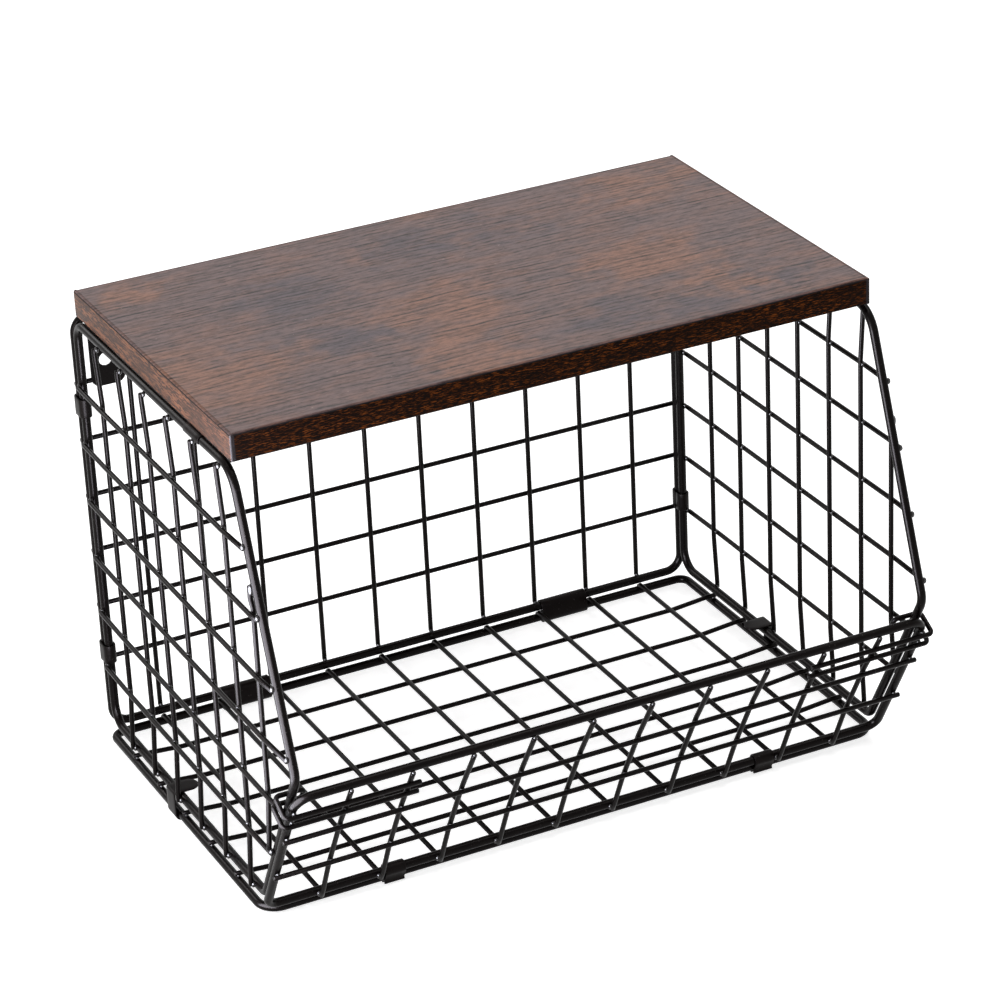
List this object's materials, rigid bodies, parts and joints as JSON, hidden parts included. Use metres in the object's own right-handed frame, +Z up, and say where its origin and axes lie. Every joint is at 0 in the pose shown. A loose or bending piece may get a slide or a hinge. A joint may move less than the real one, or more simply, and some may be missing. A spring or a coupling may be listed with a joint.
{
  "type": "storage rack",
  "caption": "Folding wire storage basket with a low slanted front, hinged side panels and a flat wooden board laid over the top.",
  "frame": {"origin": "middle of the bottom of the bounding box", "axes": "+Z up, -Y towards the open front, +X to the right seen from the front"},
  "size_m": [0.3918, 0.2876, 0.2837],
  "materials": {
    "board_top": "matte wood-grain laminate in greyish brown",
    "board_edge": "thin wood-grain edge band in dark brown",
    "rail_coat": "black powder coat, semi-matt",
    "wire_coat": "black powder coat, semi-matt",
    "sheet_coat": "black powder coat on bent sheet, semi-matt"
  },
  "bodies": {
    "basket": {"bottom_frame": "rail_coat", "back_frame": "rail_coat", "front_frame": "rail_coat", "bottom_grid": "wire_coat", "back_grid": "wire_coat", "front_grid": "wire_coat", "left_hook": "wire_coat", "right_hook": "wire_coat", "left_rear_hinge_clip": "sheet_coat", "left_front_hinge_clip": "sheet_coat", "left_side_tab": "sheet_coat", "left_lower_corner_clip": "sheet_coat", "left_upper_corner_clip": "sheet_coat", "left_hanging_plate": "sheet_coat", "right_rear_hinge_clip": "sheet_coat", "right_front_hinge_clip": "sheet_coat", "right_side_tab": "sheet_coat", "right_lower_corner_clip": "sheet_coat", "right_upper_corner_clip": "sheet_coat", "right_hanging_plate": "sheet_coat"},
    "board": {"top_board": "board_top", "front_edge_band": "board_edge", "rear_edge_band": "board_edge", "left_edge_band": "board_edge", "right_edge_band": "board_edge"},
    "left_side": {"left_side_frame": "rail_coat", "left_side_grid": "wire_coat", "left_board_clip": "sheet_coat"},
    "right_side": {"right_side_frame": "rail_coat", "right_side_grid": "wire_coat", "right_board_clip": "sheet_coat"}
  },
  "joints": [
    {"name": "board_lift", "type": "slide", "parent": "basket", "child": "board", "axis": [0, 0, 1], "range_m": [0, 0.06]},
    {"name": "left_side_fold", "type": "hinge", "parent": "basket", "child": "left_side", "pos_m": [-0.1875, 0.13316, 0.139], "axis": [0, 0, 1], "range_deg": [0, 89]},
    {"name": "right_side_fold", "type": "hinge", "parent": "basket", "child": "right_side", "pos_m": [0.1875, 0.13316, 0.139], "axis": [0, 0, -1], "range_deg": [0, 84]}
  ]
}
